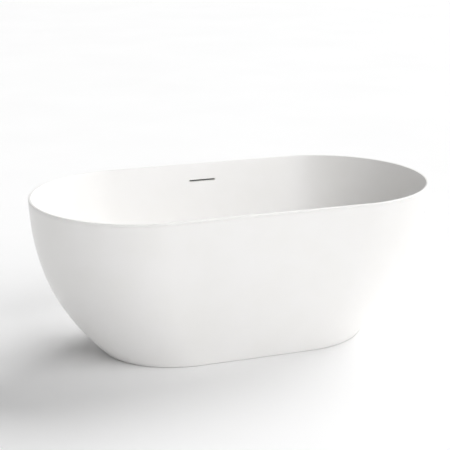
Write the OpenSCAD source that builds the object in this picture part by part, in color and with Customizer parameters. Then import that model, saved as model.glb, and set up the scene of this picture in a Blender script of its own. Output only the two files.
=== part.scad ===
// Freestanding double-ended bath: an acrylic basin bonded into an outer skirt, with a
// slotted overflow in the middle of one long wall, a push-to-open waste in the middle of
// the floor, and a steel underframe on six levelling feet.
// Millimetres. +X runs along the bath, +Y towards the overflow wall, +Z up. The origin is
// the middle of the footprint, on the floor.

/* [Bath] */
// Overall length at the rim
bath_l = 1500; // [1450:10:1600]
// Overall width at the rim
bath_w = 800; // [780:10:840]
// Overall height from the floor to the rim
bath_h = 580; // [575:5:600]
// Length of the flat base
base_l = 1002; // [960:2:1040]
// Width of the flat base
base_w = 504; // [490:2:540]
// Half length of the elliptical end at the rim
rim_end = 390; // [360:5:400]
// Half length of the elliptical end at the base
base_end = 287; // [270:1:300]
// How quickly the ends flare out above the base
flare_power = 2.5; // [2.2:0.1:3]
// Share of the end flare that is a straight slope
straight_share = 0.09; // [0:0.01:0.2]
// Facets round each end of the bath
end_sides = 24; // [12:2:32]

/* [Shells] */
// Width of the flat rim
rim_w = 12; // [10:1:16]
// Depth of the rim's outer edge
rim_depth = 9; // [6:1:12]
// Radius that eases the rim's top edges
rim_round = 3; // [2:0.5:4]
// Thickness of the laminated basin wall
basin_t = 5; // [4:0.5:6]
// Thickness of the laminated skirt wall
skirt_t = 4; // [3:0.5:5]
// Horizontal distance between the two visible faces deep in the bath
deep_gap = 75; // [70:1:85]
// Height of the basin floor's edge above the ground
floor_z = 126; // [126:1:130]
// Fall of the basin floor towards the waste
floor_fall = 6; // [4:1:8]
// Radius between the basin wall and its floor
floor_bend = 75; // [60:5:80]
// Width of the skirt's turned-in bottom flange
flange_w = 18; // [14:1:20]
// Gap between the skirt and the ground
skirt_lift = 1; // [0.5:0.5:2]

/* [Overflow] */
// Clear width of the overflow slot
slot_w = 106; // [90:2:110]
// Clear height of the overflow slot
slot_h = 6; // [5:0.5:7]
// Depth of the slot's centre below the rim
slot_drop = 61; // [58:1:66]
// Outer radius of the overflow hose
hose_r = 13; // [12:0.5:13]
// Bore radius of the overflow hose
hose_bore_r = 11; // [10:0.5:11]
// Bend radius of the overflow hose's centre line
hose_bend = 80; // [70:5:90]

/* [Waste] */
// Radius of the waste's threaded tube
waste_r = 22.4; // [22:0.1:23]
// Radius of the visible waste cap
cap_r = 32; // [30:1:33]
// Rise of the cap when the waste is open
cap_lift = 9; // [6:1:10]
// Radius of the outlet tail
tail_r = 20; // [19:0.5:20]

/* [Frame and feet] */
// Distance from the middle to the outer cross rails
end_rail_x = 310; // [290:5:320]
// Place of the middle cross rail, beside the waste
mid_rail_x = 110; // [100:5:120]
// Half length of a cross rail
cross_half = 205; // [200:1:208]
// Distance from the middle to the long rails
long_rail_y = 95; // [90:1:100]
// Distance from the middle to a foot
foot_y = 175; // [170:1:180]
// Radius of a foot's base
foot_r = 24; // [20:1:25]
// Travel of a levelling foot
foot_travel = 20; // [10:1:20]

/* [Hidden] */

$fn = 64;
eps = 0.5;                                  // overshoot of a cutting tool

// Colours
acrylic = [0.95, 0.95, 0.94];
galvanised = [0.66, 0.68, 0.69];
black_rubber = [0.09, 0.09, 0.09];
grey_plastic = [0.32, 0.33, 0.34];

// Heights under the basin
drain_z = floor_z - floor_fall;             // basin floor at the waste
under_z = 114;                              // flat underside of the basin
bend_z = floor_z + floor_bend;              // where the basin wall meets its bend
board_t = 16;
board_z = under_z - board_t;
rail_h = 20;
rail_w = 30;
rail_t = 1.5;
long_z = board_z - rail_h;                  // underside of the long rails
cross_z = long_z - rail_h;                  // underside of the cross rails

// Rim and slot
rim_z = bath_h - rim_round;                 // where the rim's round starts
lip_z = bath_h - rim_depth;                 // underside of the rim
slot_z = bath_h - slot_drop;
dish_r = 60;                                // half width of the flat dish round the waste
dish_straight = 5;
wall_steps = 7;
bend_steps = 4;
skirt_steps = 11;

// Feet: [x, y] of each
feet = [
    for (x = [-end_rail_x, mid_rail_x, end_rail_x]) for (side = [-1, 1]) [x, side * foot_y]
];
stud_r = 6;
nut_bore = stud_r + 0.05;
stud_z = 10;                                // foot of the stud, inside its moulding
lock_nut_h = 6;
nut_h = 10;
nut_gap = 0.2;
nut_corner_r = 10.97;                       // corner radius of a hexagon 19 across flats
hub_top = cross_z - nut_h - 2 * nut_gap;

// ---------------------------------------------------------------- form of the shells

// Share of the end flare that is reached at the fraction t of the height
function flare(t) =
    (1 - straight_share) * (1 - pow(1 - t, flare_power)) + straight_share * t;

// Plan of the outside at height z, drawn in by inset: [half length, half width, end axis]
function plan(z, inset) =
    let (t = z / bath_h)
    [
        base_l / 2 + (bath_l - base_l) / 2 * flare(t) - inset,
        base_w / 2 + (bath_w - base_w) / 2 * t - inset,
        base_end + (rim_end - base_end) * flare(t) - inset
    ];

// Half width of the outside at height z
function half_width(z) = plan(z, 0)[1];

// Horizontal distance from the outside to the basin's visible wall at height z
function wall_inset(z) =
    rim_w + (deep_gap - rim_w) * pow((rim_z - z) / (rim_z - floor_z), 0.8);

// One closed ring of points: an elliptical end, the same end turned round, straight between
function ring(p, z) = [
    for (side = [1, -1]) for (i = [0 : end_sides])
        let (a = -90 + 180 * i / end_sides)
        [side * (p[0] - p[2] + p[2] * cos(a)), side * p[1] * sin(a), z]
];

// Faces of the band between ring j and ring k
function band(j, k, n) = [
    for (i = [0 : n - 1])
        let (next = (i + 1) % n)
        [j * n + i, k * n + i, k * n + next, j * n + next]
];

function flat(lists) = [for (l = lists) for (item = l) item];

// Solid whose rings run up the outside, over the top and down the inside. A capped loft
// ends in flat floors at its first and last ring; an open one joins its last ring to its first
module loft(rings, capped) {
    n = len(rings[0]);
    count = len(rings);
    bands = [for (j = [0 : count - 2]) band(j, j + 1, n)];
    closing = capped
        ? [[for (i = [0 : n - 1]) i], [for (i = [n - 1 : -1 : 0]) (count - 1) * n + i]]
        : band(count - 1, 0, n);
    polyhedron(points = flat(rings), faces = concat(flat(bands), closing), convexity = 10);
}

// Heights of the basin wall from its bend up to just under the rim, closer near the rim
wall_heights = [
    for (k = [0 : wall_steps - 1])
        bend_z + (lip_z - bend_z) * (1 - pow(1 - k / wall_steps, 1.4))
];

// ---------------------------------------------------------------- shells

module inner_shell() {
    bend_inset = wall_inset(bend_z);
    back_bend = [
        for (k = [0 : bend_steps])
            let (a = 90 - 90 * k / bend_steps)
            ring(
                plan(bend_z, bend_inset - basin_t + (floor_bend + basin_t) * (1 - cos(a))),
                bend_z - (bend_z - under_z) * sin(a)
            )
    ];
    back_wall = [
        for (k = [1 : wall_steps - 1])
            let (z = wall_heights[k])
            ring(plan(z, wall_inset(z) - basin_t), z)
    ];
    rim = [
        ring(plan(lip_z, wall_inset(lip_z) - basin_t), lip_z),
        ring(plan(lip_z, 0), lip_z),
        ring(plan(rim_z, 0), rim_z),
        ring(plan(bath_h, 0.3 * rim_round), bath_h - 0.3 * rim_round),
        ring(plan(bath_h, rim_round), bath_h),
        ring(plan(bath_h, rim_w - rim_round), bath_h),
        ring(plan(bath_h, rim_w - 0.3 * rim_round), bath_h - 0.3 * rim_round),
        ring(plan(rim_z, rim_w), rim_z)
    ];
    front_wall = [
        for (k = [wall_steps - 1 : -1 : 1])
            let (z = wall_heights[k])
            ring(plan(z, wall_inset(z)), z)
    ];
    front_bend = [
        for (k = [0 : bend_steps])
            let (a = 90 * k / bend_steps)
            ring(
                plan(bend_z, bend_inset + floor_bend * (1 - cos(a))),
                bend_z - floor_bend * sin(a)
            )
    ];
    dish = [ring([dish_r + dish_straight, dish_r, dish_r], drain_z)];
    color(acrylic) difference() {
        loft(concat(back_bend, back_wall, rim, front_wall, front_bend, dish), true);
        translate([0, 0, under_z - eps])
            cylinder(r = drain_hole_r, h = drain_z - under_z + 2 * eps);
        slot_prism(slot_w + 3, slot_h + 3, face_y(slot_z) - 30, 60);
        at_overflow_screws() translate([0, 0, -1]) cylinder(r = 1.5, h = 1.4 + screw_bite, $fn = 24);
    }
}

module outer_skirt() {
    top = lip_z - 0.1;
    outside = [
        for (k = [0 : skirt_steps])
            let (z = skirt_lift + (top - skirt_lift) * k / skirt_steps)
            ring(plan(z, 0), z)
    ];
    inside = [
        for (k = [skirt_steps : -1 : 1])
            let (z = skirt_lift + (top - skirt_lift) * k / skirt_steps)
            ring(plan(z, skirt_t), z)
    ];
    flange_top = skirt_lift + skirt_t;
    flange = [
        ring(plan(flange_top, skirt_t), flange_top),
        ring(plan(flange_top, flange_w + skirt_t), flange_top),
        ring(plan(skirt_lift, flange_w + skirt_t), skirt_lift)
    ];
    color(acrylic) difference() {
        loft(concat(outside, inside, flange), false);
        at_brackets() cylinder(r = 2.2, h = 10, $fn = 24);
    }
}

// Bead of adhesive in the corner between the skirt's top edge and the rim's underside
module rim_bond() {
    bond_depth = 10;
    low = lip_z - bond_depth;
    top = lip_z - 0.1;
    clear = 0.5;
    color([0.82, 0.82, 0.80]) loft([
        ring(plan(low, skirt_t + clear), low),
        ring(plan(top, skirt_t + clear), top),
        ring(plan(top, wall_inset(top) - basin_t - clear), top),
        ring(plan(low, wall_inset(low) - basin_t - clear), low)
    ], false);
}

// ---------------------------------------------------------------- overflow

// Height and place of the basin's visible and back faces on the overflow wall
function face_y(z) = half_width(z) - wall_inset(z);
function back_y(z) = face_y(z) + basin_t;
function skirt_face_y(z) = half_width(z) - skirt_t;

// Lean of the basin wall at the slot, from the vertical
slot_lean = atan((face_y(slot_z + 8) - face_y(slot_z - 8)) / 16);

// Bar with a round-ended cross-section that runs along Y
module slot_prism(w, h, y, length) {
    r = h / 2;
    translate([0, y, slot_z]) {
        translate([-w / 2 + r, 0, -r]) cube([w - h, length, h]);
        for (side = [-1, 1])
            translate([side * (w / 2 - r), 0, 0])
                rotate([-90, 0, 0]) cylinder(r = r, h = length, $fn = 32);
    }
}

// Thin polished frame: a plate that leans with the wall, and a sleeve through the wall
module slot_trim() {
    plate_t = 0.8;
    border = 3;
    r = slot_h / 2 + border;
    color(acrylic) difference() {
        union() {
            translate([0, face_y(slot_z) - 0.15, slot_z]) rotate([-slot_lean, 0, 0])
                translate([0, -plate_t, 0]) {
                    translate([-slot_w / 2 + slot_h / 2, 0, -r])
                        cube([slot_w - slot_h, plate_t, 2 * r]);
                    for (side = [-1, 1])
                        translate([side * (slot_w - slot_h) / 2, 0, 0])
                            rotate([-90, 0, 0]) cylinder(r = r, h = plate_t, $fn = 32);
                }
            slot_prism(slot_w + 2.4, slot_h + 2.4, face_y(slot_z) - 0.6, 8);
        }
        slot_prism(slot_w, slot_h, face_y(slot_z) - 20, 40);
    }
}

box_w = slot_w + 22;
box_top = slot_z + 18;
box_bottom = slot_z - 109;
box_neck_w = 36;
box_mouth_h = 22;                           // opening in front, closed round the slot by the gasket
box_wall = 2;
gasket_t = 1.4;
box_heights = [box_top, slot_z - 19, slot_z - 59, box_bottom];

// Side outline of the space behind the basin wall, kept away from both walls
function box_side(front, back, trim) =
    let (heights = [for (z = box_heights) max(min(z, box_top - trim), box_bottom + trim)])
    concat(
        [for (z = heights) [back_y(z) + front, z]],
        [for (i = [len(heights) - 1 : -1 : 0]) [skirt_face_y(heights[i]) - back, heights[i]]]
    );

// Wedge behind the wall with that side outline, which narrows downwards
module box_wedge(front, back, trim) {
    intersection() {
        rotate([90, 0, 90])
            translate([0, 0, -box_w])
                linear_extrude(2 * box_w) polygon(box_side(front, back, trim));
        translate([0, bath_w, 0])
            rotate([90, 0, 0])
                linear_extrude(bath_w) polygon([
                    [-box_w / 2 + trim, box_top], [box_w / 2 - trim, box_top],
                    [box_w / 2 - trim, slot_z - 24], [box_neck_w / 2 - trim, box_bottom],
                    [-box_neck_w / 2 + trim, box_bottom], [-box_w / 2 + trim, slot_z - 24]
                ]);
    }
}

// The hose leaves the box along the cavity, bends under the floor and meets the waste
hose_z = 60;                                // centre line where it runs level
hose_top = [(back_y(box_bottom) + skirt_face_y(box_bottom)) / 2, box_bottom];
hose_lean = atan((hose_top[0] - (back_y(230) + skirt_face_y(230)) / 2) / (box_bottom - 230));
arc_start_z = hose_z + hose_bend * (1 - sin(hose_lean));
arc_start_y = hose_top[0] - (hose_top[1] - arc_start_z) * tan(hose_lean);
level_y = arc_start_y - hose_bend * cos(hose_lean);
inlet_y = 60;                               // mouth of the waste's side inlet
hose_cover = 18;                            // length of hose on each spigot
spigot_r = hose_bore_r - 0.4;               // spigots that the hose is pushed over
spigot_gap = 6;                             // bare spigot between the box and the tilted hose end

// A tube along the hose's leaning top stretch; distances are measured down from the box
module on_lean(from, to, outer, bore) {
    translate([0, hose_top[0], hose_top[1]]) rotate([-hose_lean, 0, 0])
        translate([0, 0, -to]) tube(outer, bore, to - from);
}

// A tube along the hose's level stretch, between two places on Y
module on_level(from, to, outer, bore) {
    translate([0, from, hose_z]) rotate([-90, 0, 0]) tube(outer, bore, to - from);
}

module tube(outer, bore, h) {
    difference() {
        cylinder(r = outer, h = h);
        if (bore > 0) translate([0, 0, -eps]) cylinder(r = bore, h = h + 2 * eps);
    }
}

module overflow_box() {
    color(grey_plastic) difference() {
        union() {
            box_wedge(gasket_t + 0.2, 1.5, 0);
            on_lean(-4, hose_cover + spigot_gap, spigot_r, 0);
        }
        box_wedge(gasket_t + 0.2 + box_wall, 1.5 + box_wall, box_wall);
        on_lean(-6, hose_cover + spigot_gap + eps, hose_bore_r - 2, 0);
        slot_prism(slot_w + 3, box_mouth_h, face_y(slot_z) - 10, 22);
        at_overflow_screws() translate([0, 0, -8]) cylinder(r = 1.5, h = 8, $fn = 24);
    }
}

module overflow_gasket() {
    color(black_rubber) difference() {
        intersection() {
            box_wedge(0.3, 0, 0);
            translate([-box_w / 2, 0, slot_z - 17]) cube([box_w, bath_w, 33]);
        }
        box_wedge(gasket_t, -5, -5);
        slot_prism(slot_w + 3, slot_h + 3, face_y(slot_z) - 20, 60);
        at_overflow_screws() translate([0, 0, -8]) cylinder(r = 2.3, h = 8, $fn = 24);
    }
}

// Places on the back of the basin wall beyond the slot's ends, facing into the wall
module at_overflow_screws() {
    for (side = [-1, 1])
        translate([side * (slot_w / 2 + 6), back_y(slot_z), slot_z])
            rotate([90 - slot_lean, 0, 0]) children();
}

// Short screws that hold the box and its gasket to the wall, in blind holes
screw_bite = 2.6;
screw_grip = 3.5;

module overflow_screws() {
    color(galvanised) at_overflow_screws() {
        translate([0, 0, -screw_grip]) cylinder(r = 1.4, h = screw_grip + screw_bite, $fn = 24);
        translate([0, 0, -screw_grip - 2]) cylinder(r = 2.6, h = 2, $fn = 24);
    }
}

// Stations along the hose, from the waste up to the box: [y, z, direction above level]
hose_rise = 90 - hose_lean;
arc_steps = 8;
hose_stations = concat(
    [[inlet_y - hose_cover, hose_z, 0]],
    [
        for (k = [0 : arc_steps])
            let (e = hose_rise * k / arc_steps)
            [level_y + hose_bend * sin(e), hose_z + hose_bend * (1 - cos(e)), e]
    ],
    [[
        hose_top[0] - spigot_gap * sin(hose_lean),
        hose_top[1] - spigot_gap * cos(hose_lean),
        hose_rise
    ]]
);

// Ring of radius r square to the hose at a station
function hose_ring(s, r) = [
    for (b = [0 : 20 : 340])
        [r * cos(b), s[0] + r * sin(b) * sin(s[2]), s[1] - r * sin(b) * cos(s[2])]
];

module overflow_hose() {
    last = len(hose_stations) - 1;
    outside = [for (k = [0 : last]) hose_ring(hose_stations[k], hose_r)];
    bore = [for (k = [last : -1 : 0]) hose_ring(hose_stations[k], hose_bore_r)];
    color([0.86, 0.86, 0.85]) loft(concat(outside, bore), false);
}

// Worm-drive band with its screw housing
module clip_ring() {
    band_w = 8;
    difference() {
        union() {
            cylinder(r = hose_r + 1.1, h = band_w, center = true);
            translate([hose_r + 2, 0, 0]) cube([5, 11, band_w], center = true);
        }
        cylinder(r = hose_r + 0.1, h = band_w + 2 * eps, center = true);
    }
    translate([hose_r + 2.5, 10, 0]) rotate([90, 0, 0]) cylinder(r = 3, h = 4.4, $fn = 6);
}

module hose_clip_upper() {
    color("silver") translate([0, hose_top[0], hose_top[1]]) rotate([-hose_lean, 0, 0])
        translate([0, 0, -spigot_gap - hose_cover / 2]) clip_ring();
}

module hose_clip_lower() {
    color("silver") translate([0, inlet_y - hose_cover / 2, hose_z])
        rotate([-90, 0, 0]) clip_ring();
}

// ---------------------------------------------------------------- waste

drain_hole_r = 25;
gasket_h = 2;
flange_h = 3;
flange_r = 36;
flange_z = drain_z + gasket_h;              // underside of the waste flange
thread_bottom = 80;
boss_r = 8;
boss_top = drain_z - 6;
neck_r = tail_r - 1.2;                      // outlet tail inside its nut
sleeve_bore = 3.55;                         // guide bore, a running fit on the stem
chamber_r = 6.2;
stem_r = 3.5;
lock_h = 8;
lower_gasket_h = 3;
lock_z = under_z - lower_gasket_h - lock_h;
body_top = lock_z - 1;
body_bottom = 36;
cap_z = flange_z + flange_h + 1.6;          // underside of the cap

module waste_flange() {
    seat_r = waste_r - 3;
    color([0.80, 0.81, 0.82]) difference() {
        union() {
            translate([0, 0, flange_z]) {
                cylinder(r1 = flange_r, r2 = flange_r, h = flange_h - 1, $fn = 96);
                translate([0, 0, flange_h - 1])
                    cylinder(r1 = flange_r, r2 = flange_r - 2, h = 1, $fn = 96);
            }
            translate([0, 0, thread_bottom]) cylinder(r = waste_r, h = flange_z - thread_bottom + 1);
        }
        // Bowl of the waste, left open between four webs that carry the cartridge
        difference() {
            translate([0, 0, thread_bottom - eps])
                cylinder(r = seat_r, h = flange_z - thread_bottom + flange_h + 2 * eps);
            translate([0, 0, thread_bottom]) cylinder(r = boss_r, h = boss_top - thread_bottom);
            for (a = [0, 90])
                rotate(a) translate([-seat_r - 1, -1.5, thread_bottom])
                    cube([2 * seat_r + 2, 3, boss_top - 4 - thread_bottom]);
        }
        translate([0, 0, thread_bottom - eps])
            cylinder(r = chamber_r + 1.1, h = boss_top - thread_bottom + 2 * eps);
        translate([0, 0, flange_z + flange_h - 2]) cylinder(r1 = seat_r, r2 = seat_r + 3, h = 2.01);
    }
}

module upper_gasket() {
    color(black_rubber) translate([0, 0, drain_z]) tube(flange_r - 2, waste_r + 0.3, gasket_h);
}

module lower_gasket() {
    color(black_rubber) translate([0, 0, under_z - lower_gasket_h])
        tube(34, waste_r + 0.3, lower_gasket_h);
}

module waste_lock_nut() {
    color([0.78, 0.66, 0.36]) translate([0, 0, lock_z]) difference() {
        cylinder(r = 35, h = lock_h, $fn = 6);
        translate([0, 0, -eps]) cylinder(r = waste_r + 0.2, h = lock_h + 2 * eps);
    }
}

module waste_body() {
    color(grey_plastic) difference() {
        union() {
            translate([0, 0, body_bottom]) cylinder(r = 27, h = body_top - body_bottom);
            translate([0, 0, body_top - 6]) cylinder(r = 30, h = 6);
            on_level(20, inlet_y, spigot_r, 0);
            on_level(20, inlet_y - hose_cover - 1, hose_r, 0);
        }
        translate([0, 0, thread_bottom - 2]) cylinder(r = waste_r + 0.2, h = 60);
        translate([0, 0, body_bottom + 12]) cylinder(r = 21, h = 60);
        translate([0, 0, body_bottom - eps]) cylinder(r = neck_r + 0.2, h = 60);
        on_level(10, inlet_y + eps, hose_bore_r - 2, 0);
    }
}

module outlet_nut() {
    nut_r = 31;
    color(grey_plastic) translate([0, 0, body_bottom - 2]) difference() {
        cylinder(r = nut_r, h = 12);
        translate([0, 0, 1.8]) cylinder(r = 27.2, h = 20);
        translate([0, 0, -eps]) cylinder(r = neck_r + 0.3, h = 20);
        for (a = [0 : 20 : 340])
            rotate(a) translate([nut_r + 1, 0, -eps]) cylinder(r = 2.2, h = 20, $fn = 16);
    }
}

// Plain tail for a push-fit pipe, with a thinner neck where it sits in the nut and the waste body
module outlet_tail() {
    tail_z = 8;
    shoulder_z = body_bottom - 2.5;         // just below the outlet nut
    bore_r = tail_r - 3;
    color([0.90, 0.90, 0.89]) {
        translate([0, 0, tail_z]) tube(tail_r, bore_r, shoulder_z - tail_z);
        translate([0, 0, shoulder_z]) tube(neck_r, bore_r, body_bottom + 10 - shoulder_z);
    }
}

module waste_cap() {
    color([0.80, 0.81, 0.82]) translate([0, 0, cap_z]) {
        rotate_extrude($fn = 96) polygon([
            [0, 0], [cap_r - 1, 0], [cap_r, 1], [cap_r, 2], [cap_r - 1, 3],
            [cap_r - 8, 3.9], [cap_r - 18, 4.5], [0, 4.8]
        ]);
        translate([0, 0, -3]) cylinder(r = 6, h = 3.1);
    }
}

module cap_seal() {
    color(black_rubber) translate([0, 0, cap_z - 1.5]) tube(27, 22.5, 1.5);
}

// Stem under the cap: a smooth rod, with a collar that the spring lifts
module cap_stem() {
    color("silver") {
        translate([0, 0, 88]) cylinder(r = stem_r, h = cap_z - 3 - 88);
        translate([0, 0, collar_z]) cylinder(r = chamber_r - 0.3, h = 2);
    }
}

guide_h = 4;                                // height of the guide at the sleeve's top
sleeve_top = boss_top - 0.5;
collar_z = sleeve_top - guide_h - cap_lift - 2.5;
sleeve_z = 82;

// Sleeve screwed into the boss: a wide spring chamber closed by a plain guide at the top
module cartridge_sleeve() {
    base_t = 1.5;
    color([0.78, 0.66, 0.36]) difference() {
        translate([0, 0, sleeve_z]) cylinder(r = chamber_r + 1, h = sleeve_top - sleeve_z);
        translate([0, 0, sleeve_z + base_t])
            cylinder(r = chamber_r, h = sleeve_top - guide_h - sleeve_z - base_t);
        translate([0, 0, sleeve_z - eps]) cylinder(r = sleeve_bore, h = 60);
    }
}

// Ring with ratchet teeth round its lower edge that turns as the stem is pressed
module latch_cam() {
    h = 2.6;
    color([0.88, 0.88, 0.86]) translate([0, 0, cam_z]) difference() {
        cylinder(r = chamber_r - 0.15, h = h);
        translate([0, 0, -eps]) cylinder(r = stem_r + 0.08, h = h + 2 * eps);
        for (k = [0 : 3])
            rotate(90 * k) translate([chamber_r - 1, -1, -eps]) cube([4, 2, 1.5 + eps]);
    }
}

cam_z = sleeve_z + 1.7;
spring_low = cam_z + 2.8;
spring_wire = 0.5;
spring_turns = 5;

// Compression spring between the latch cam and the stem's collar
module cartridge_spring() {
    steps = 12;
    count = spring_turns * steps;
    coil_r = 4.9;
    low = spring_low + spring_wire;
    high = collar_z - spring_wire - 0.1;
    rings = [
        for (k = [0 : count])
            let (a = 360 * k / steps, z = low + (high - low) * k / count)
            [
                for (b = [0 : 60 : 300])
                    let (r = coil_r + spring_wire * cos(b))
                    [r * cos(a), r * sin(a), z + spring_wire * sin(b)]
            ]
    ];
    color("silver") sweep(rings);
}

// Closed tube through a list of rings that are not closed on themselves
module sweep(rings) {
    n = len(rings[0]);
    count = len(rings);
    sides = flat([for (j = [0 : count - 2]) band(j, j + 1, n)]);
    ends = [[for (i = [0 : n - 1]) i], [for (i = [n - 1 : -1 : 0]) (count - 1) * n + i]];
    polyhedron(points = flat(rings), faces = concat(sides, ends), convexity = 10);
}

// ---------------------------------------------------------------- frame and feet

board_l = 760;
board_w = 240;
board_corner = 50;

module base_board() {
    color([0.72, 0.58, 0.40]) difference() {
        translate([0, 0, board_z]) union() {
            translate([-board_l / 2 + board_corner, -board_w / 2, 0])
                cube([board_l - 2 * board_corner, board_w, board_t - 0.1]);
            translate([-board_l / 2, -board_w / 2 + board_corner, 0])
                cube([board_l, board_w - 2 * board_corner, board_t - 0.1]);
            for (sx = [-1, 1]) for (sy = [-1, 1])
                translate([sx * (board_l / 2 - board_corner), sy * (board_w / 2 - board_corner), 0])
                    cylinder(r = board_corner, h = board_t - 0.1);
        }
        translate([0, 0, board_z - eps]) cylinder(r = 45, h = board_t + 2 * eps);
        at_board_screws() translate([0, 0, board_z - eps]) cylinder(r = 1.9, h = 13, $fn = 24);
    }
}

// Square tube along X, centred on X and Y, with its underside at z = 0
module box_tube(length) {
    difference() {
        translate([-length / 2, -rail_w / 2, 0]) cube([length, rail_w, rail_h]);
        translate([-length / 2 - eps, -rail_w / 2 + rail_t, rail_t])
            cube([length + 2 * eps, rail_w - 2 * rail_t, rail_h - 2 * rail_t]);
    }
}

module at_board_screws() {
    for (x = [-250, -60, 60, 250]) for (side = [-1, 1])
        translate([x, side * long_rail_y, 0]) children();
}

// Screws that tie each cross rail up into the long rails
module at_cross_screws() {
    for (x = [-end_rail_x, mid_rail_x, end_rail_x]) for (side = [-1, 1])
        translate([x, side * long_rail_y, 0]) children();
}

module long_rails() {
    color(galvanised) difference() {
        for (side = [-1, 1]) translate([0, side * long_rail_y, long_z])
            box_tube(2 * end_rail_x + 60);
        at_board_screws() translate([0, 0, long_z - eps]) cylinder(r = 4.2, h = rail_h, $fn = 32);
        at_board_screws() translate([0, 0, long_z + 10]) cylinder(r = 2.3, h = rail_h, $fn = 32);
        at_cross_screws() translate([0, 0, long_z - eps]) cylinder(r = 2.3, h = 10, $fn = 32);
    }
}

module cross_rails() {
    color(galvanised) difference() {
        for (x = [-end_rail_x, mid_rail_x, end_rail_x])
            translate([x, 0, cross_z]) rotate(90) box_tube(2 * cross_half);
        for (p = feet)
            translate([p[0], p[1], cross_z - eps])
                cylinder(r = stud_r + 0.5, h = rail_h + 2 * eps);
        at_cross_screws() translate([0, 0, cross_z - eps]) cylinder(r = 4.2, h = 10, $fn = 32);
        at_cross_screws() translate([0, 0, cross_z + 10]) cylinder(r = 2.3, h = 20, $fn = 32);
    }
}

// Self-drilling screw with a hexagon washer head, standing up from z = 0
module rail_screw() {
    translate([0, 0, -4]) cylinder(r = 3.6, h = 3, $fn = 6);
    translate([0, 0, -1]) cylinder(r = 4, h = 1, $fn = 32);
    cylinder(r = 1.8, h = 11, $fn = 24);
}

module rail_screws() {
    color(galvanised) {
        at_board_screws() translate([0, 0, board_z - rail_t]) rail_screw();
        at_cross_screws() translate([0, 0, long_z - rail_t]) rail_screw();
    }
}

bracket_w = 24;
bracket_t = 2;
bracket_z = skirt_lift + skirt_t + 0.1;

// Half width of the skirt's bottom flange at the place x, drawn in by inset
function flange_y(x, inset) =
    let (p = plan(bracket_z, inset), u = max(0, abs(x) - p[0] + p[2]) / p[2])
    p[1] * sqrt(1 - u * u);

// At the screw through the skirt's flange beyond each end of each cross rail
module at_brackets() {
    for (x = [-end_rail_x, mid_rail_x, end_rail_x]) for (side = [-1, 1])
        translate([x, side * flange_y(x, skirt_t + flange_w / 2), 0]) children();
}

// Steel angles from the ends of the cross rails down to the skirt's bottom flange
module skirt_brackets() {
    color(galvanised) difference() {
        for (x = [-end_rail_x, mid_rail_x, end_rail_x]) for (turn = [0, 1])
            mirror([0, turn, 0]) translate([x - bracket_w / 2, cross_half, bracket_z]) {
                cube([bracket_w, bracket_t, cross_z + rail_h - bracket_z]);
                cube([bracket_w, flange_y(abs(x) + bracket_w / 2, skirt_t + 2) - cross_half, bracket_t]);
            }
        at_brackets() translate([0, 0, bracket_z - eps]) cylinder(r = 2.4, h = 4, $fn = 24);
    }
}

// Screws and nuts that pinch each bracket to the skirt's flange
module bracket_screws() {
    low = skirt_lift + 0.2;
    plate_top = bracket_z + bracket_t;
    color(galvanised) at_brackets() {
        translate([0, 0, low]) cylinder(r = 1.95, h = plate_top + 4 - low, $fn = 24);
        translate([0, 0, plate_top]) cylinder(r = 4.1, h = 3.2, $fn = 6);
    }
}

// Moulded foot with a wide base and a tall hub round the stud
module foot(k) {
    rib_t = 3;
    hub_r = 12.5;
    color(black_rubber) translate([feet[k][0], feet[k][1], 0]) difference() {
        union() {
            cylinder(r = foot_r, h = 6);
            translate([0, 0, 6]) cylinder(r1 = foot_r, r2 = foot_r - 2, h = 2);
            cylinder(r = hub_r, h = hub_top);
            for (a = [0, 90]) rotate(a)
                translate([-foot_r + 4, -rib_t / 2, 0]) cube([2 * foot_r - 8, rib_t, 24]);
        }
        translate([0, 0, stud_z]) cylinder(r = stud_r, h = hub_top);
    }
}

// Threaded stud, long enough to stay in its lock nut when the foot is right out
module stud(k) {
    length = long_z + lock_nut_h + foot_travel + 2 - stud_z;
    color(galvanised) translate([feet[k][0], feet[k][1], stud_z]) {
        cylinder(r = stud_r, h = length);
        translate([0, 0, length]) cylinder(r1 = stud_r, r2 = stud_r - 1, h = 1);
    }
}

// Hexagon nut round a stud, standing up from height z
module stud_nut(k, z, h) {
    color(galvanised) translate([feet[k][0], feet[k][1], z]) difference() {
        intersection() {
            cylinder(r = nut_corner_r, h = h, $fn = 6);
            cylinder(r = nut_corner_r - 0.6, h = h);
        }
        translate([0, 0, -eps]) cylinder(r = nut_bore, h = h + 2 * eps);
    }
}

module foot_nut(k) {
    stud_nut(k, cross_z - nut_h - nut_gap, nut_h);
}

module foot_lock_nuts() {
    for (k = [0 : 5]) stud_nut(k, long_z + 0.1, lock_nut_h);
}

inner_shell();
outer_skirt();
rim_bond();
base_board();
long_rails();
cross_rails();
rail_screws();
skirt_brackets();
bracket_screws();
foot(0);  // foot_1
foot(1);  // foot_2
foot(2);  // foot_3
foot(3);  // foot_4
foot(4);  // foot_5
foot(5);  // foot_6
stud(0);  // stud_1
stud(1);  // stud_2
stud(2);  // stud_3
stud(3);  // stud_4
stud(4);  // stud_5
stud(5);  // stud_6
foot_nut(0);  // foot_nut_1
foot_nut(1);  // foot_nut_2
foot_nut(2);  // foot_nut_3
foot_nut(3);  // foot_nut_4
foot_nut(4);  // foot_nut_5
foot_nut(5);  // foot_nut_6
foot_lock_nuts();
slot_trim();
overflow_box();
overflow_gasket();
overflow_screws();
overflow_hose();
hose_clip_upper();
hose_clip_lower();
waste_flange();
upper_gasket();
lower_gasket();
waste_lock_nut();
waste_body();
outlet_nut();
outlet_tail();
waste_cap();
cap_seal();
cap_stem();
cartridge_sleeve();
cartridge_spring();
latch_cam();
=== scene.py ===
"""Looks for a freestanding acrylic bath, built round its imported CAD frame.

Each sub-assembly is a class that builds the meshes its CAD parts stand in for and dresses the
CAD parts that stay. Lengths are metres in the frame's own axes: +X along the bath, +Y towards
the overflow wall, +Z up, origin on the floor in the middle of the footprint.
"""

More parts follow.
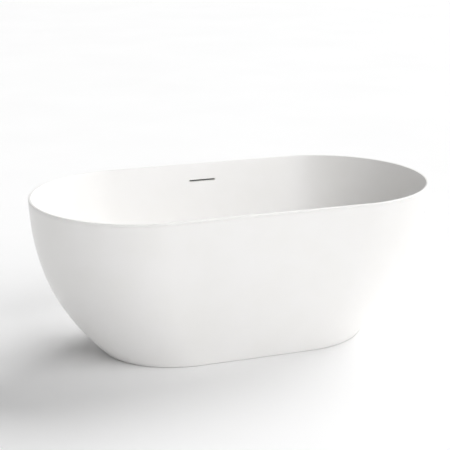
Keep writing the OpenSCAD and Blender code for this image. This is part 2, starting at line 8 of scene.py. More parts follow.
import logging
import math
from dataclasses import dataclass, field
from enum import Enum
from typing import Sequence

import bmesh
import bpy
from mathutils import Matrix, Vector


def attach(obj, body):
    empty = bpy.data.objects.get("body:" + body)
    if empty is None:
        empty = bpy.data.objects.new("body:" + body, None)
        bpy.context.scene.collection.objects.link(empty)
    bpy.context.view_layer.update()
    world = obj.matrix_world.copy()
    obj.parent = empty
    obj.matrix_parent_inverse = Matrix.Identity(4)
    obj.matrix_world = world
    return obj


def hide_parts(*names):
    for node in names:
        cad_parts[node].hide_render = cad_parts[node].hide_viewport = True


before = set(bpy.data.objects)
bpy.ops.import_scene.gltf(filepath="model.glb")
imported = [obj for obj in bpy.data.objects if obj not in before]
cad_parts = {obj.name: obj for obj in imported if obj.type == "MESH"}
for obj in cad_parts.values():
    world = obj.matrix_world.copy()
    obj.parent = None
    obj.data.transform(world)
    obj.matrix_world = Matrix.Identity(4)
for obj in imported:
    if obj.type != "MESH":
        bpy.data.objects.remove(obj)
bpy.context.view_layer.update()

log = logging.getLogger("bath")

Point = tuple[float, float, float]
Ring = list[Point]
MM = 0.001
USUAL_NOISE = (0.3, 0.7)  # most of a noise's values lie between these
NOISE_ROUGHNESS = 0.55
SMOOTH_DEGREES = 35.0  # edges that turn by more than this stay sharp
SOFT_EDGE_DEGREES = 42.0  # edges of CAD copies that turn by more than this are rounded
FLAT_DEGREES = 0.4  # faces of CAD copies that differ by less than this are joined
WELD_MM = 0.002  # points of CAD copies closer than this are one point


# ---------------------------------------------------------------- shader helpers


def linear(colour: str) -> tuple[float, float, float, float]:
    """Turn an sRGB hex colour into linear light.

    Args:
        colour: The colour as "#RRGGBB".

    Returns:
        Linear red, green and blue, then an alpha of 1.
    """
    channels = [int(colour[i : i + 2], 16) / 255 for i in (1, 3, 5)]
    red, green, blue = (
        c / 12.92 if c <= 0.04045 else ((c + 0.055) / 1.055) ** 2.4 for c in channels
    )
    return (red, green, blue, 1.0)


def add_node(
    tree: bpy.types.NodeTree,
    kind: str,
    settings: dict[str, object] | None = None,
    links: dict[str | int, bpy.types.NodeSocket] | None = None,
) -> bpy.types.Node:
    """Add one shader node, with its settings and its incoming links.

    Args:
        tree: The tree that gets the node.
        kind: Blender's identifier for the node, such as "ShaderNodeTexNoise".
        settings: Values by name. A name that is an attribute of the node sets that; any
            other name sets the default value of that input.
        links: Output sockets by the name or number of the input they feed.

    Returns:
        The new node.
    """
    made = tree.nodes.new(kind)
    for name, value in (settings or {}).items():
        if hasattr(made, name):
            setattr(made, name, value)
        else:
            made.inputs[name].default_value = value
    for name, source in (links or {}).items():
        tree.links.new(source, made.inputs[name])
    return made


class Surface:
    """A material under construction: its tree, its main shader and its object coordinates."""

    def __init__(self, name: str, base: str, roughness: float, **sockets: object) -> None:
        """Start a material.

        Args:
            name: The material's name.
            base: Its base colour as sRGB hex.
            roughness: The shader's roughness.
            **sockets: Further values of the shader, with "_" for a space in a socket's name.
        """
        self.material = bpy.data.materials.new(name)
        self.material.use_nodes = True
        self.tree = self.material.node_tree
        self.shader = self.tree.nodes["Principled BSDF"]
        self.shader.inputs["Base Color"].default_value = linear(base)
        self.shader.inputs["Roughness"].default_value = roughness
        for socket, value in sockets.items():
            self.shader.inputs[socket.replace("_", " ")].default_value = value
        self.place = add_node(self.tree, "ShaderNodeTexCoord").outputs["Object"]

    def noise(
        self, size_mm: float, detail: float = 2.0, stretch: Point = (1, 1, 1)
    ) -> bpy.types.NodeSocket:
        """Return the value of a noise whose features are about size_mm across."""
        scaled = add_node(
            self.tree, "ShaderNodeMapping", {"Scale": stretch}, {"Vector": self.place}
        )
        made = add_node(
            self.tree,
            "ShaderNodeTexNoise",
            {"Scale": 1 / (size_mm * MM), "Detail": detail, "Roughness": NOISE_ROUGHNESS},
            {"Vector": scaled.outputs[0]},
        )
        return made.outputs["Fac"]

    def between(
        self, driver: bpy.types.NodeSocket, low: float, high: float
    ) -> bpy.types.NodeSocket:
        """Return driver stretched from its usual middle range onto low to high."""
        least, most = USUAL_NOISE
        made = add_node(
            self.tree,
            "ShaderNodeMapRange",
            {"From Min": least, "From Max": most, "To Min": low, "To Max": high},
            {"Value": driver},
        )
        return made.outputs["Result"]

    def tint(self, driver: bpy.types.NodeSocket, first: str, second: str) -> None:
        """Let the base colour wander between two sRGB colours as driver does."""
        ramp = add_node(self.tree, "ShaderNodeValToRGB", links={"Fac": driver})
        low, high = ramp.color_ramp.elements
        low.position, high.position = USUAL_NOISE
        low.color, high.color = linear(first), linear(second)
        self.tree.links.new(ramp.outputs["Color"], self.shader.inputs["Base Color"])

    def polish(self, driver: bpy.types.NodeSocket, low: float, high: float) -> None:
        """Let the roughness wander from low to high as driver does."""
        self.tree.links.new(self.between(driver, low, high), self.shader.inputs["Roughness"])

    def relief(self, driver: bpy.types.NodeSocket, depth_mm: float, strength: float = 1.0) -> None:
        """Raise the surface by up to depth_mm as driver goes from 0 to 1."""
        chained = self.shader.inputs["Normal"].links
        bump = add_node(
            self.tree,
            "ShaderNodeBump",
            {"Distance": depth_mm * MM, "Strength": strength},
            {"Height": driver},
        )
        if chained:
            self.tree.links.new(chained[0].from_socket, bump.inputs["Normal"])
        self.tree.links.new(bump.outputs["Normal"], self.shader.inputs["Normal"])


# ---------------------------------------------------------------- finishes


@dataclass(frozen=True)
class SanitaryAcrylic:
    """Cast acrylic sheet, vacuum formed and buffed: a white gloss that is faintly uneven."""

    bright: str = "#F4F3F2"
    shade: str = "#F2F1EF"
    ior: float = 1.49
    smooth: float = 0.33
    rough: float = 0.36
    tone_mm: float = 160.0  # the white wanders over a hand's width as the sheet thins
    haze_mm: float = 35.0  # patches that the buffing wheel left duller
    ripple_mm: float = 90.0  # long ripple left where the hot sheet was drawn down
    ripple_depth_mm: float = 0.06
    buff_mm: float = 1.4  # fine marks of the buffing wheel
    buff_depth_mm: float = 0.002

    def make(self) -> bpy.types.Material:
        """Return the material."""
        surface = Surface("sanitary_acrylic", self.bright, self.smooth, IOR=self.ior)
        surface.tint(surface.noise(self.tone_mm, 3.0), self.bright, self.shade)
        surface.polish(surface.noise(self.haze_mm, 4.0), self.smooth, self.rough)
        surface.relief(surface.noise(self.buff_mm, 2.0), self.buff_depth_mm)
        surface.relief(surface.noise(self.ripple_mm, 1.0), self.ripple_depth_mm)
        return surface.material


@dataclass(frozen=True)
class PowderCoat:
    """White powder coat baked on steel: semi-gloss with the fine orange peel of fused powder."""

    bright: str = "#F1F1EE"
    shade: str = "#EDEDEA"
    ior: float = 1.52
    smooth: float = 0.30
    rough: float = 0.38
    tone_mm: float = 14.0
    haze_mm: float = 8.0
    peel_mm: float = 1.1
    peel_depth_mm: float = 0.01

    def make(self) -> bpy.types.Material:
        """Return the material."""
        surface = Surface("white_powder_coat", self.bright, self.smooth, IOR=self.ior)
        surface.tint(surface.noise(self.tone_mm), self.bright, self.shade)
        surface.polish(surface.noise(self.haze_mm, 3.0), self.smooth, self.rough)
        surface.relief(surface.noise(self.peel_mm), self.peel_depth_mm)
        return surface.material


@dataclass(frozen=True)
class ChoppedGlassLaminate:
    """Polyester resin sprayed with chopped glass on the hidden sides: pale, fibrous, uneven."""

    resin: str = "#D9D6C4"
    fibre: str = "#ECEADF"
    fibre_mm: float = 2.2  # bundles are about 1 mm; drawn coarser so that they show
    fibre_length_ratio: float = 0.12
    fibre_depth_mm: float = 0.5
    lump_mm: float = 25.0  # where the roller left more or less resin
    lump_depth_mm: float = 1.2
    gloss_mm: float = 18.0
    ior: float = 1.55
    smooth: float = 0.35
    rough: float = 0.6

    def make(self) -> bpy.types.Material:
        """Return the material."""
        surface = Surface("chopped_glass_laminate", self.resin, self.smooth, IOR=self.ior)
        one_way = surface.noise(self.fibre_mm, 1.0, (self.fibre_length_ratio, 1, 1))
        other_way = surface.noise(self.fibre_mm, 1.0, (1, self.fibre_length_ratio, 1))
        crossed = add_node(
            surface.tree, "ShaderNodeMath", {"operation": "MAXIMUM"}, {0: one_way, 1: other_way}
        ).outputs[0]
        surface.tint(crossed, self.resin, self.fibre)
        surface.polish(surface.noise(self.gloss_mm), self.smooth, self.rough)
        surface.relief(crossed, self.fibre_depth_mm)
        surface.relief(surface.noise(self.lump_mm), self.lump_depth_mm)
        return surface.material


class Plating(Enum):
    """Bright metal finishes: name, darker colour, lighter colour, roughness from and to."""

    CHROME = ("polished_chrome_plate", "#D3D5D6", "#DBDCDD", 0.05, 0.11)
    ZINC = ("bright_zinc_plate", "#A9ACAD", "#C4C6C4", 0.26, 0.42)
    STAINLESS = ("stainless_strip", "#A6A6A3", "#BDBDBA", 0.20, 0.32)
    SPRING = ("hard_drawn_spring_wire", "#8E8F8F", "#A6A7A6", 0.25, 0.38)


@dataclass(frozen=True)
class PlatedMetal:
    """Plated or drawn metal: a clean mirror or a soft sheen, hazed in patches by handling."""

    plating: Plating
    haze_mm: float = 22.0
    scratch_mm: float = 0.5  # real hairlines are finer; drawn coarser so that they show
    scratch_depth_mm: float = 0.006
    scratch_stretch: Point = (0.05, 1, 1)

    def make(self) -> bpy.types.Material:
        """Return the material."""
        name, dark, light, smooth, rough = self.plating.value
        surface = Surface(name, light, smooth, Metallic=1.0)
        surface.tint(surface.noise(self.haze_mm), dark, light)
        surface.polish(surface.noise(self.haze_mm / 2, 5.0), smooth, rough)
        surface.relief(
            surface.noise(self.scratch_mm, 2.0, self.scratch_stretch), self.scratch_depth_mm
        )
        return surface.material


@dataclass(frozen=True)
class GalvanisedSteel:
    """Hot-dip galvanised tube: zinc crystals of slightly different grey, dull between them."""

    spangle_mm: float = 7.0  # crystals are nearer 3 mm; drawn coarser so that they show
    bloom_depth_mm: float = 0.03
    smooth: float = 0.34
    rough: float = 0.55
    dark: str = "#8D9294"
    light: str = "#B4B8B9"

    def make(self) -> bpy.types.Material:
        """Return the material."""
        surface = Surface("galvanised_steel", self.light, self.smooth, Metallic=1.0)
        cells = add_node(
            surface.tree,
            "ShaderNodeTexVoronoi",
            {"Scale": 1 / (self.spangle_mm * MM)},
            {"Vector": surface.place},
        )
        shade = add_node(
            surface.tree, "ShaderNodeSeparateColor", links={"Color": cells.outputs["Color"]}
        ).outputs["Red"]
        surface.tint(shade, self.dark, self.light)
        surface.polish(shade, self.smooth, self.rough)
        surface.relief(surface.noise(self.spangle_mm / 3), self.bloom_depth_mm)
        return surface.material


@dataclass(frozen=True)
class TurnedBrass:
    """Brass turned on a lathe: fine rings round the axis and a little brown tarnish."""

    bright: str = "#C9A75C"
    tarnish: str = "#A98545"
    ring_mm: float = 0.5  # tool marks are about 0.1 mm; drawn coarser so that they show
    ring_depth_mm: float = 0.01
    ring_stretch: Point = (0.02, 0.02, 1)
    tarnish_mm: float = 9.0
    haze_mm: float = 4.0
    smooth: float = 0.2
    rough: float = 0.36

    def make(self) -> bpy.types.Material:
        """Return the material."""
        surface = Surface("turned_brass", self.bright, self.smooth, Metallic=1.0)
        surface.tint(surface.noise(self.tarnish_mm, 3.0), self.tarnish, self.bright)
        surface.polish(surface.noise(self.haze_mm, 3.0), self.smooth, self.rough)
        surface.relief(surface.noise(self.ring_mm, 1.0, self.ring_stretch), self.ring_depth_mm)
        return surface.material


class Moulding(Enum):
    """Plastics and rubbers: name, darker and lighter colour, roughness, grain in mm, IOR."""

    GREY_ABS = ("moulded_grey_abs", "#4B4E50", "#565A5C", 0.48, 0.6, 1.54)
    BLACK_NYLON = ("glass_filled_black_nylon", "#191919", "#232323", 0.55, 0.8, 1.53)
    EPDM = ("black_epdm_rubber", "#161616", "#202020", 0.72, 0.5, 1.52)
    POLYPROPYLENE = ("white_polypropylene", "#DDDDD8", "#E8E8E4", 0.38, 1.2, 1.49)
    ACETAL = ("natural_acetal", "#E4E3DC", "#EDECE6", 0.35, 0.9, 1.48)
    POLYMER_BEAD = ("cured_hybrid_polymer", "#CFCEC8", "#DAD9D4", 0.5, 3.0, 1.45)


@dataclass(frozen=True)
class MouldedPart:
    """Injection-moulded plastic or rubber: an eroded mould's fine grain, scuffed in patches."""

    moulding: Moulding
    tone_mm: float = 30.0
    scuff_mm: float = 12.0
    scuff_range: tuple[float, float] = (-0.06, 0.08)  # how far roughness strays in patches
    grain_depth_mm: float = 0.03

    def make(self) -> bpy.types.Material:
        """Return the material."""
        name, dark, light, rough, grain_mm, ior = self.moulding.value
        surface = Surface(name, dark, rough, IOR=ior)
        surface.tint(surface.noise(self.tone_mm, 3.0), dark, light)
        smoother, rougher = self.scuff_range
        surface.polish(surface.noise(self.scuff_mm, 4.0), rough + smoother, rough + rougher)
        surface.relief(surface.noise(grain_mm, 2.0), self.grain_depth_mm)
        return surface.material


@dataclass(frozen=True)
class ParticleBoard:
    """Pressed particle board: flakes of pale wood in every direction, sealed with resin."""

    dark: str = "#93754C"
    light: str = "#C4A677"
    flake_mm: float = 3.2  # real flakes are about half that; drawn coarser so that they show
    flake_depth_mm: float = 0.3
    ior: float = 1.45
    smooth: float = 0.6
    rough: float = 0.82

    def make(self) -> bpy.types.Material:
        """Return the material."""
        surface = Surface("pressed_particle_board", self.light, self.rough, IOR=self.ior)
        flakes = add_node(
            surface.tree,
            "ShaderNodeTexVoronoi",
            {"Scale": 1 / (self.flake_mm * MM)},
            {"Vector": surface.place},
        )
        shade = add_node(
            surface.tree, "ShaderNodeSeparateColor", links={"Color": flakes.outputs["Color"]}
        ).outputs["Green"]
        surface.tint(shade, self.dark, self.light)
        surface.polish(shade, self.smooth, self.rough)
        surface.relief(flakes.outputs["Distance"], self.flake_depth_mm)
        return surface.material


@dataclass(frozen=True)
class StudioFloor:
    """Matt white studio floor with the slightest mottling."""

    white: str = "#F4F4F4"
    whiter: str = "#F6F6F6"
    mottle_mm: float = 900.0
    roughness: float = 0.9

    def make(self) -> bpy.types.Material:
        """Return the material."""
        surface = Surface("studio_floor", self.white, self.roughness)
        surface.tint(surface.noise(self.mottle_mm), self.white, self.whiter)
        return surface.material


@dataclass
class Palette:
    """Every finish on the bath, made once and shared."""

    acrylic: bpy.types.Material = field(default_factory=lambda: SanitaryAcrylic().make())
    laminate: bpy.types.Material = field(default_factory=lambda: ChoppedGlassLaminate().make())
    powder: bpy.types.Material = field(default_factory=lambda: PowderCoat().make())
    chrome: bpy.types.Material = field(default_factory=lambda: PlatedMetal(Plating.CHROME).make())
    zinc: bpy.types.Material = field(default_factory=lambda: PlatedMetal(Plating.ZINC).make())
    stainless: bpy.types.Material = field(
        default_factory=lambda: PlatedMetal(Plating.STAINLESS).make()
    )
    spring: bpy.types.Material = field(default_factory=lambda: PlatedMetal(Plating.SPRING).make())
    galvanised: bpy.types.Material = field(default_factory=lambda: GalvanisedSteel().make())
    brass: bpy.types.Material = field(default_factory=lambda: TurnedBrass().make())
    abs: bpy.types.Material = field(default_factory=lambda: MouldedPart(Moulding.GREY_ABS).make())
    nylon: bpy.types.Material = field(
        default_factory=lambda: MouldedPart(Moulding.BLACK_NYLON).make()
    )
    rubber: bpy.types.Material = field(default_factory=lambda: MouldedPart(Moulding.EPDM).make())
    polypropylene: bpy.types.Material = field(
        default_factory=lambda: MouldedPart(Moulding.POLYPROPYLENE).make()
    )
    acetal: bpy.types.Material = field(default_factory=lambda: MouldedPart(Moulding.ACETAL).make())
    adhesive: bpy.types.Material = field(
        default_factory=lambda: MouldedPart(Moulding.POLYMER_BEAD).make()
    )
    board: bpy.types.Material = field(default_factory=lambda: ParticleBoard().make())


# ---------------------------------------------------------------- mesh helpers


def make_object(
    name: str,
    points: Sequence[Point],
    faces: Sequence[Sequence[int]],
    materials: Sequence[bpy.types.Material],
    sharp_degrees: float = SMOOTH_DEGREES,
) -> bpy.types.Object:
    """Make a smooth-shaded mesh object with merged points and outward faces.

    Args:
        name: The object's name.
        points: Its points, in metres.
        faces: Its faces, as lists of point numbers.
        materials: Its material slots, in order.
        sharp_degrees: Edges that turn by more than this stay sharp.

    Returns:
        The new object, linked into the scene.
    """
    mesh = bpy.data.meshes.new(name)
    mesh.from_pydata([tuple(p) for p in points], [], [tuple(f) for f in faces])
    work = bmesh.new()
    work.from_mesh(mesh)
    bmesh.ops.remove_doubles(work, verts=work.verts, dist=1e-6)
    bmesh.ops.recalc_face_normals(work, faces=work.faces)
    work.to_mesh(mesh)
    work.free()
    finish_shading(mesh, sharp_degrees)
    made = bpy.data.objects.new(name, mesh)
    bpy.context.scene.collection.objects.link(made)
    for material in materials:
        mesh.materials.append(material)
    return made


def finish_shading(mesh: bpy.types.Mesh, sharp_degrees: float) -> None:
    """Shade a mesh smooth, apart from edges that turn by more than sharp_degrees."""
    mesh.shade_smooth()
    mesh.set_sharp_from_angle(angle=math.radians(sharp_degrees))


def strip(
    rings: Sequence[Ring], closed: bool, capped: bool = False
) -> tuple[Ring, list[list[int]]]:
    """Join rings of equal length into a skin.

    Args:
        rings: The rings, each a closed loop of points.
        closed: Whether the last ring joins the first.
        capped: Whether the first and last rings are filled with flat faces.

    Returns:
        The points and faces.
    """
    count = len(rings[0])
    points = [point for ring in rings for point in ring]
    pairs = [(j, j + 1) for j in range(len(rings) - 1)]
    if closed:
        pairs.append((len(rings) - 1, 0))
    faces = [
        [a * count + i, a * count + (i + 1) % count, b * count + (i + 1) % count, b * count + i]
        for a, b in pairs
        for i in range(count)
    ]
    if capped:
        faces.append(list(range(count - 1, -1, -1)))
        faces.append([(len(rings) - 1) * count + i for i in range(count)])
    return points, faces


def lathe(
    name: str,
    profile: Sequence[tuple[float, float]],
    centre: Point,
    material: bpy.types.Material,
    steps: int = 96,
    closed: bool = False,
) -> bpy.types.Object:
    """Turn a profile about a vertical axis.

    Args:
        name: The new object's name.
        profile: Points of radius and height, in metres.
        centre: A point on the axis, which heights are counted from.
        material: The finish.
        steps: Facets round the axis.
        closed: Whether the last profile point joins the first, as on a ring.

    Returns:
        The new object.
    """
    rings = [
        [
            (
                centre[0] + r * math.cos(2 * math.pi * k / steps),
                centre[1] + r * math.sin(2 * math.pi * k / steps),
                centre[2] + z,
            )
            for k in range(steps)
        ]
        for r, z in profile
    ]
    points, faces = strip(rings, closed)
    return make_object(name, points, faces, [material])


def settle(piece: bpy.types.Object) -> None:
    """Turn a piece's modifiers into its mesh for good."""
    bpy.context.view_layer.update()
    evaluated = piece.evaluated_get(bpy.context.evaluated_depsgraph_get())
    mesh = bpy.data.meshes.new_from_object(evaluated)
    piece.modifiers.clear()
    piece.data = mesh


def combine(target: bpy.types.Object, tool: bpy.types.Object, operation: str) -> None:
    """Cut tool out of target, or join it on, for good, and delete tool.

    Args:
        target: The piece that changes.
        tool: The piece that is used up.
        operation: "DIFFERENCE" or "UNION".
    """
    modifier = target.modifiers.new("combine", "BOOLEAN")
    modifier.operation = operation
    modifier.solver = "EXACT"
    modifier.object = tool
    settle(target)
    bpy.data.objects.remove(tool, do_unlink=True)


def moved(points: Sequence[Point], by: Point) -> Ring:
    """Return points shifted by a vector."""
    return [(p[0] + by[0], p[1] + by[1], p[2] + by[2]) for p in points]


def fillet(
    centre: tuple[float, float], radius: float, start: float, end: float, steps: int = 5
) -> list[tuple[float, float]]:
    """Return an arc of a profile.

    Args:
        centre: The arc's centre, as radius and height.
        radius: The arc's own radius.
        start: The direction of its first point, in degrees.
        end: The direction of its last point, in degrees.
        steps: Its number of straight parts.

    Returns:
        Points of radius and height.
    """
    angles = [math.radians(start + (end - start) * k / steps) for k in range(steps + 1)]
    return [
        (centre[0] + radius * math.cos(a), centre[1] + radius * math.sin(a)) for a in angles
    ]


def soften(
    node: str, body: str, slot: str, material: bpy.types.Material, width_mm: float
) -> bpy.types.Object:
    """Stand a copy with rounded edges in for a CAD node.

    Args:
        node: The CAD node.
        body: The body it rides on.
        slot: The record's material slot.
        material: The finish.
        width_mm: The width of the rounding along its edges.

    Returns:
        The new piece.
    """
    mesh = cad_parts[node].data.copy()
    mesh.materials.clear()
    mesh.materials.append(material)
    work = bmesh.new()
    work.from_mesh(mesh)
    bmesh.ops.remove_doubles(work, verts=work.verts, dist=WELD_MM * MM)
    bmesh.ops.dissolve_limit(
        work, angle_limit=math.radians(FLAT_DEGREES), verts=work.verts, edges=work.edges
    )
    work.to_mesh(mesh)
    work.free()
    mesh.shade_smooth()
    made = bpy.data.objects.new(f"{node}_rounded", mesh)
    bpy.context.scene.collection.objects.link(made)
    bevel = made.modifiers.new("edges", "BEVEL")
    bevel.width = width_mm * MM
    bevel.segments = 2
    bevel.limit_method = "ANGLE"
    bevel.angle_limit = math.radians(SOFT_EDGE_DEGREES)
    bevel.harden_normals = True
    weld = made.modifiers.new("weld", "WELD")
    weld.merge_threshold = WELD_MM * MM
    made.modifiers.new("normals", "WEIGHTED_NORMAL").keep_sharp = True
    settle(made)
    return place(made, body, slot, node)


def dress(material: bpy.types.Material, *nodes: str) -> None:
    """Give CAD nodes a finish and report them.

    Args:
        material: The finish.
        *nodes: The CAD nodes' names.
    """
    for node in nodes:
        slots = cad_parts[node].material_slots
        for slot in slots:
            slot.material = material
        log.info("dressed %s in %s", node, material.name)


def place(piece: bpy.types.Object, body: str, slot: str, *nodes: str) -> bpy.types.Object:
    """Ride a new piece on its body, in place of CAD nodes, and report it.

    Args:
        piece: The new piece.
        body: The CAD body that carries it.
        slot: The record's material slot for its finish; not used.
        *nodes: The CAD nodes it stands for.

    Returns:
        The piece.
    """
    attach(piece, body)
    if nodes:
        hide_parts(*nodes)
    log.info("placed %s on %s, %d faces", piece.name, body, len(piece.data.polygons))
    return piece


# ---------------------------------------------------------------- fasteners


@dataclass(frozen=True)
class HexNut:
    """A plain hexagon nut with its corners turned away at both faces."""

    across: float
    height: float
    bore: float
    steps: int = 72
    chamfer_slope: float = 0.55
    face_share: float = 1.03  # width of the turned face over the width across flats
    edge_gap: float = 1e-5  # keeps the two edge rings apart where the chamfer runs out

    def skin(self, centre: Point) -> tuple[Ring, list[list[int]]]:
        """Return the nut's points and faces, standing up from centre."""
        turned = self.across / 2 * self.face_share
        rings: list[Ring] = [[] for _ in range(6)]
        for k in range(self.steps):
            angle = 2 * math.pi * k / self.steps
            flat_turn = (angle + math.pi / 6) % (math.pi / 3) - math.pi / 6
            reach = self.across / 2 / math.cos(flat_turn)
            drop = max(0.0, reach - turned) * self.chamfer_slope
            edge = min(reach, turned)
            profile = (
                (self.bore, 0.0),
                (edge, 0.0),
                (reach, drop + self.edge_gap),
                (reach, self.height - drop - self.edge_gap),
                (edge, self.height),
                (self.bore, self.height),
            )
            for ring, (r, z) in zip(rings, profile):
                ring.append((r * math.cos(angle), r * math.sin(angle), z))
        points, faces = strip(rings, closed=True)
        return moved(points, centre), faces


@dataclass(frozen=True)
class ThreadedRod:
    """A rod with a rolled metric thread and chamfered ends."""

    major: float
    pitch: float
    length: float
    steps: int = 20
    depth_ratio: float = 0.61
    chamfer: float = 0.001

    def build(self, name: str, foot: Point, material: bpy.types.Material) -> bpy.types.Object:
        """Build the rod standing up from foot.

        Args:
            name: The new object's name.
            foot: The middle of its lower end.
            material: The finish.

        Returns:
            The new object.
        """
        minor = self.major - self.depth_ratio * self.pitch
        profile = ((0.0, minor), (0.375, self.major), (0.5, self.major), (0.875, minor))
        per_turn = len(profile)
        spare_turns = 4
        run_in = 1.5  # turns that start below the rod's foot and are cut off there
        count = per_turn * (int(self.length / self.pitch) + spare_turns)
        points: Ring = []
        for k in range(count):
            share, radius = profile[k % per_turn]
            for i in range(self.steps):
                angle = 2 * math.pi * i / self.steps
                z = self.pitch * (k // per_turn + share + i / self.steps - run_in)
                end = self.major - self.chamfer + max(0.0, min(z, self.length - z))
                reach = min(radius, end)
                points.append((reach * math.cos(angle), reach * math.sin(angle), z))
        work = bmesh.new()
        verts = [work.verts.new(p) for p in points]
        for k in range(count - per_turn - 1):
            for i in range(self.steps):
                last = i + 1 == self.steps
                ahead = (k + per_turn) * self.steps if last else k * self.steps + i + 1
                here = k * self.steps + i
                corners = (here, ahead, ahead + self.steps, here + self.steps)
                work.faces.new([verts[c] for c in corners])
        for z, up in ((0.0, -1), (self.length, 1)):
            bmesh.ops.bisect_plane(
                work,
                geom=work.verts[:] + work.edges[:] + work.faces[:],
                plane_co=(0, 0, z),
                plane_no=(0, 0, up),
                clear_outer=True,
            )
        bmesh.ops.remove_doubles(work, verts=work.verts, dist=1e-7)
        bmesh.ops.holes_fill(work, edges=[e for e in work.edges if e.is_boundary], sides=0)
        bmesh.ops.recalc_face_normals(work, faces=work.faces)
        mesh = bpy.data.meshes.new(name)
        bmesh.ops.translate(work, verts=work.verts, vec=foot)
        work.to_mesh(mesh)
        work.free()
        finish_shading(mesh, SMOOTH_DEGREES)
        mesh.materials.append(material)
        made = bpy.data.objects.new(name, mesh)
        bpy.context.scene.collection.objects.link(made)
        return made


# ---------------------------------------------------------------- shells


@dataclass
class BathForm:
    """The form that both shells share: straight long sides and elliptical flared ends."""

    length: float = 1.500
    width: float = 0.800
    height: float = 0.580
    base_length: float = 1.002
    base_width: float = 0.504
    rim_end: float = 0.390
    base_end: float = 0.287
    flare_power: float = 2.5
    straight_share: float = 0.09
    rim_width: float = 0.012
    rim_depth: float = 0.009
    rim_round: float = 0.003
    deep_gap: float = 0.075
    lean_power: float = 0.8
    floor_height: float = 0.126
    end_steps: int = 72
    side_steps: int = 14

    def flare(self, share: float) -> float:
        """Return the share of the end flare reached at a share of the height."""
        curved = 1 - (1 - share) ** self.flare_power
        return (1 - self.straight_share) * curved + self.straight_share * share

    def plan(self, z: float, inset: float) -> tuple[float, float, float]:
        """Return half length, half width and end axis of the outside at z, drawn in by inset."""
        share = min(z / self.height, 1.0)
        flare = self.flare(share)
        return (
            self.base_length / 2 + (self.length - self.base_length) / 2 * flare - inset,
            self.base_width / 2 + (self.width - self.base_width) / 2 * share - inset,
            self.base_end + (self.rim_end - self.base_end) * flare - inset,
        )

    def wall_inset(self, z: float) -> float:
        """Return the horizontal distance from the outside to the basin's face at z."""
        top = self.height - self.rim_round
        depth = max(top - z, 0.0) / (top - self.floor_height)
        return self.rim_width + (self.deep_gap - self.rim_width) * depth**self.lean_power

    def ring(self, plan: tuple[float, float, float], z: float) -> Ring:
        """Return the closed outline of a plan at height z: two ends and two straight sides."""
        half, side, end = plan
        straight = half - end
        points: Ring = []
        for turn in (1, -1):
            for k in range(self.end_steps):
                angle = -math.pi / 2 + math.pi * k / self.end_steps
                points.append(
                    (turn * (straight + end * math.cos(angle)), turn * side * math.sin(angle), z)
                )
            for k in range(self.side_steps):
                along = straight * (1 - 2 * k / self.side_steps)
                points.append((turn * along, turn * side, z))
        return points


def blend_plans(
    first: tuple[float, float, float], second: tuple[float, float, float], share: float
) -> tuple[float, float, float]:
    """Return the plan that lies a share of the way from first to second."""
    return tuple(a + (b - a) * share for a, b in zip(first, second))


